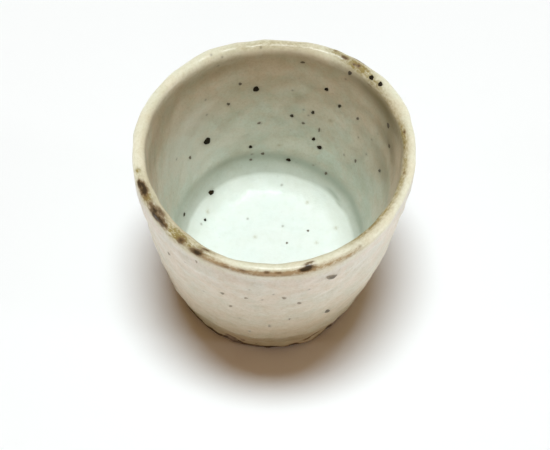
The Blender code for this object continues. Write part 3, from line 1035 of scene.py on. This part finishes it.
# specks: black where iron broke through, grey-brown where glaze still covers it, rusty in places
def speckMaterial():
    material, shader, start = startMaterial("iron_speck", speckFinish["roughness"])
    shader.inputs["Specular IOR Level"].default_value = speckFinish["specular"]
    tone = start.attribute("tone")
    colour = start.mix(tone, rgba(speckFinish["dark"]), rgba(speckFinish["grey"]))
    rusty = start.noise(*speckFinish["rusty"]).smooth(0.5, 0.75)
    colour = start.mix(rusty * 0.35, colour, rgba(speckFinish["rust"]))
    colour.into(shader, "Base Color")
    start.noise(*speckFinish["pitted"]).bumps(shader, *speckFinish["bump"])
    return material


# bare clay's colours in scene-linear light, and its noises: waves per metre, detail and roughness
clay = {
    "pale": (0.36, 0.27, 0.18),
    "dark": (0.13, 0.085, 0.048),
    # burnt clay near the table, darkened as painted contact shade
    "burntAndShade": (0.022, 0.013, 0.007),
    "sand": (0.52, 0.44, 0.34),
    "cloud": (160, 5, 0.6),
    "sandy": (2800, 2, 0.6),
    "scorchedAndShaded": (420, 4, 0.6),
    "gritty": (1800, 4, 0.7),
    "roughness": 0.85,
    "bump": (0.6, 0.3 * mm),    # strength and distance
    # up to this height the clay is burnt and darkened as painted contact shade
    "burntAndShadeFoot": 0.2 * mm,      # the clay is burnt up to here, and less above
}


# bare clay: sandy grain with dark iron, burnt brown near the table and darkened there as painted contact
# shade
def clayMaterial(name, burntAndShadeTop):
    material, shader, start = startMaterial(name, clay["roughness"])
    cloud = start.noise(*clay["cloud"]).smooth(0.3, 0.7)
    colour = start.mix(cloud, rgba(clay["pale"]), rgba(clay["dark"]))
    sand = start.noise(*clay["sandy"]).smooth(0.62, 0.72)
    colour = start.mix(sand * 0.5, colour, rgba(clay["sand"]))
    where = start.node("ShaderNodeTexCoord", out="Object")
    height = start.node("ShaderNodeSeparateXYZ", {}, {0: where}, out="Z")
    scorchedAndShaded = start.noise(*clay["scorchedAndShaded"]).smooth(0.25, 0.5) * 0.5 + 0.5
    charredAndShaded = (1 - height.smooth(clay["burntAndShadeFoot"], burntAndShadeTop)) * scorchedAndShaded
    colour = start.mix(charredAndShaded * 0.9, colour, rgba(clay["burntAndShade"]))
    colour.into(shader, "Base Color")
    start.noise(*clay["gritty"]).bumps(shader, *clay["bump"])
    return material


# foot ring, in metres
foot = {"width": 5.0 * mm, "edge": 0.7 * mm, "gap": 0.35 * mm, "chatter": 0.15 * mm}


# foot ring: a section with rounded lower edges turned round the axis, its sides cut by uneven waves that
# fade at the table and at the top
def footMesh():
    outer = cup["footRadius"] - foot["gap"]
    inner = outer - foot["width"]
    top = footHigh.z
    edge = foot["edge"]
    bend = np.linspace(0, math.pi / 2, 8)
    lines = [
        np.stack([np.full(14, outer), np.linspace(top, edge, 14)], axis=1),
        np.stack([outer - edge + edge * np.cos(bend), edge - edge * np.sin(bend)], axis=1)[1:],
        np.stack([np.linspace(outer - edge, inner + edge, 16), np.zeros(16)], axis=1)[1:],
        np.stack([inner + edge - edge * np.sin(bend), edge - edge * np.cos(bend)], axis=1)[1:],
        np.stack([np.full(14, inner), np.linspace(edge, top, 14)], axis=1)[1:],
        np.stack([np.linspace(inner, outer, 12), np.full(12, top)], axis=1)[1:-1],
    ]
    line = np.vstack(lines)
    grid = turned(line[:, 0], line[:, 1], turns)
    side = ease(line[:, 1], 0, edge) * (1 - ease(line[:, 1], top - 0.6 * mm, top))
    cut = foot["chatter"] * unevenness(grid, *waves["footCut"]) * side[:, None]
    out = grid[..., :2] / np.linalg.norm(grid[..., :2], axis=-1, keepdims=True)
    grid[..., :2] += out * cut[..., None]
    grid = asThrown(grid)
    return meshFrom("foot_ring_clay", grid.reshape(-1, 3), gridQuads(len(line), columns, True))


# clay body under its coats, in metres
body = {"inset": 1.8 * mm, "spiral": 0.16 * mm, "pitch": 2.6 * mm, "hollow": 0.8 * mm, "knob": 0.5 * mm,
        "rowStep": 1.6 * mm}


# clay body: the section moved in along its normal, closed by an underside that is hollowed as a parabola
# within the foot, with a sine spiral left by the turning tool and a low knob in the middle
def bodyMesh():
    slope = np.stack([np.gradient(section[:, 0], lengths), np.gradient(section[:, 1], lengths)], axis=1)
    inward = np.stack([slope[:, 1], -slope[:, 0]], axis=1)
    inset = section + body["inset"] * inward
    lastReach = lengths[section[:, 1] >= cup["footTop"]][-1]
    reach = rowsBetween(floorReach + poleGap, lastReach, body["rowStep"])
    skin = np.stack([np.interp(reach, lengths, inset[:, axis]) for axis in (0, 1)], axis=1)
    skin = skin[(reach < 0) | (skin[:, 1] > cup["footTop"])]
    edge = skin[-1, 0]
    radii = np.linspace(edge, poleGap, 90)
    line = np.vstack([skin, np.stack([radii, np.full(len(radii), cup["footTop"])], axis=1)])
    grid = turned(line[:, 0], line[:, 1], turns)
    rows = slice(len(skin), None)
    seat = cup["footRadius"] - foot["gap"] - foot["width"]
    within = 1 - ease(radii, seat - 1.5 * mm, seat)[:, None]
    spiral = np.sin(2 * math.pi * radii[:, None] / body["pitch"] - turns[None, :])
    rise = body["hollow"] * (1 - (radii[:, None] / seat) ** 2) + body["spiral"] * spiral
    rise = rise - body["knob"] * bell(radii[:, None], 0, 3 * mm)
    grid[rows, :, 2] += within * rise
    grid = asThrown(grid)
    points = grid.reshape(-1, 3)
    count = len(points)
    points = np.vstack([points, grid[0].mean(axis=0), grid[-1].mean(axis=0)])
    firstRow, lastRow = np.arange(columns), np.arange(count - columns, count)
    fans = np.vstack([poleFan(count, firstRow, False), poleFan(count + 1, lastRow, True)])
    return meshFrom("clay_body_thrown", points, gridQuads(len(line), columns, False), fans)


# every piece of the cup: three coats with the values their glaze reads, the two clays, and the specks
def buildCup():
    coats = [("inside", "glaze_inside", "inside_glaze", "inside_glaze", True),
             ("lip", "glaze_lip", "lip_iron_band", "lip_iron", False),
             ("outside", "glaze_outside", "outside_glaze", "outside_glaze", False)]
    fields = {"reach": reachField, "iron": ironAndShadeMask, "amber": amberMask, "olive": oliveMask,
              "fleck": flecks, "wash": washAndShadeMask, "pool": poolAndShadeMask, "pale": paintedLightMask}
    for span, name, node, slot, onAxis in coats:
        rows = spans[span]
        mesh = coatPiece(name, allPoints[rows], allNormals[rows], cup["glaze"], onAxis)
        for label, field in fields.items():
            giveAttribute(mesh, label, field[rows])
        place(name, mesh, glazeMaterial(name), node)
        print(name, len(mesh.polygons), "faces")
    place("clay_body_thrown", bodyMesh(), clayMaterial("thrown_clay", 2.0 * mm), "clay_body")
    place("foot_ring_clay", footMesh(), clayMaterial("foot_clay", 1.8 * mm), "foot_ring")
    place("iron_specks", speckMesh(), speckMaterial(), None)
    print("clay, foot and specks built")


buildCup()

# stage: pale floor, a soft lamp overhead, weak fills low at the right, left and front, and a dim warm room
stage = {
    "floor": (0.90, 0.93, 0.94),
    "floorRoughness": 0.6,
    "floorSpecular": 0.1,
    "floorHalf": 1.5,
    "lampPower": 121.5,
    "lampColour": (0.86, 0.95, 1.0),
    "lampHeight": 3.5,
    "lampSize": (1.42, 0.74),
    "lampShift": (0.0, 0.16),
    "rightFill": (2.2, (0.95, 1.0, 1.06)),    # power and colour
    "leftFill": (1.4, (0.95, 1.0, 1.06)),
    "frontFill": (0.8, (1.0, 0.93, 0.84)),
    "fillDistance": 0.9,
    "fillTurns": (-12, -168, -90),    # degrees round the cup; -90 faces the camera
    "fillHeight": 0.08,
    "fillSize": (0.14, 0.14),
    "room": (0.185, 0.076, 0.007),
}


# area lamp at a place, turned so that it faces the cup
def addLamp(name, where, size, power, colour):
    lamp = bpy.data.lights.new(name, "AREA")
    lamp.shape = "ELLIPSE"
    lamp.size, lamp.size_y = size
    lamp.energy = power
    lamp.color = colour
    lampObject = bpy.data.objects.new(name, lamp)
    lampObject.location = where
    lampObject.rotation_euler = (Vector((0, 0, 0.03)) - Vector(where)).to_track_quat("-Z", "Y").to_euler()
    bpy.context.scene.collection.objects.link(lampObject)


# floor as one square, the overhead lamp, the fills at their angles round the cup, and the room
def buildStage():
    half = stage["floorHalf"]
    corners = np.array([(-half, -half, 0), (half, -half, 0), (half, half, 0), (-half, half, 0)])
    floorMesh = meshFrom("floor", corners, np.array([[0, 1, 2, 3]]))
    floor = bpy.data.objects.new("floor", floorMesh)
    bpy.context.scene.collection.objects.link(floor)
    material, shader, start = startMaterial("pale_table", stage["floorRoughness"])
    shader.inputs["Base Color"].default_value = rgba(stage["floor"])
    shader.inputs["Specular IOR Level"].default_value = stage["floorSpecular"]
    floorMesh.materials.append(material)

    addLamp("overhead", (*stage["lampShift"], stage["lampHeight"]), stage["lampSize"], stage["lampPower"],
            stage["lampColour"])
    for turn, fill in zip(np.radians(stage["fillTurns"]), ("rightFill", "leftFill", "frontFill")):
        away = stage["fillDistance"]
        where = (away * math.cos(turn), away * math.sin(turn), stage["fillHeight"])
        addLamp("fill", where, stage["fillSize"], *stage[fill])

    world = bpy.data.worlds.new("room")
    world.use_nodes = True
    world.node_tree.nodes["Background"].inputs["Color"].default_value = rgba(stage["room"])
    bpy.context.scene.world = world


# camera at the eye: its lens is the focal length in pixels times the sensor's width over the picture's
def buildCamera():
    forward, right, up, eye = cameraAxes()
    camera = bpy.data.cameras.new("photo_camera")
    camera.sensor_width = 36
    camera.lens = photo["focalPixels"] * camera.sensor_width / photo["width"]
    camera.clip_start = 0.01
    cameraObject = bpy.data.objects.new("photo_camera", camera)
    turn = Matrix((right, up, -forward)).transposed()
    cameraObject.location = eye
    cameraObject.rotation_euler = turn.to_euler()
    bpy.context.scene.collection.objects.link(cameraObject)
    bpy.context.scene.camera = cameraObject


buildStage()
buildCamera()
bpy.context.scene.view_settings.view_transform = "Standard"
print("stage and camera set")
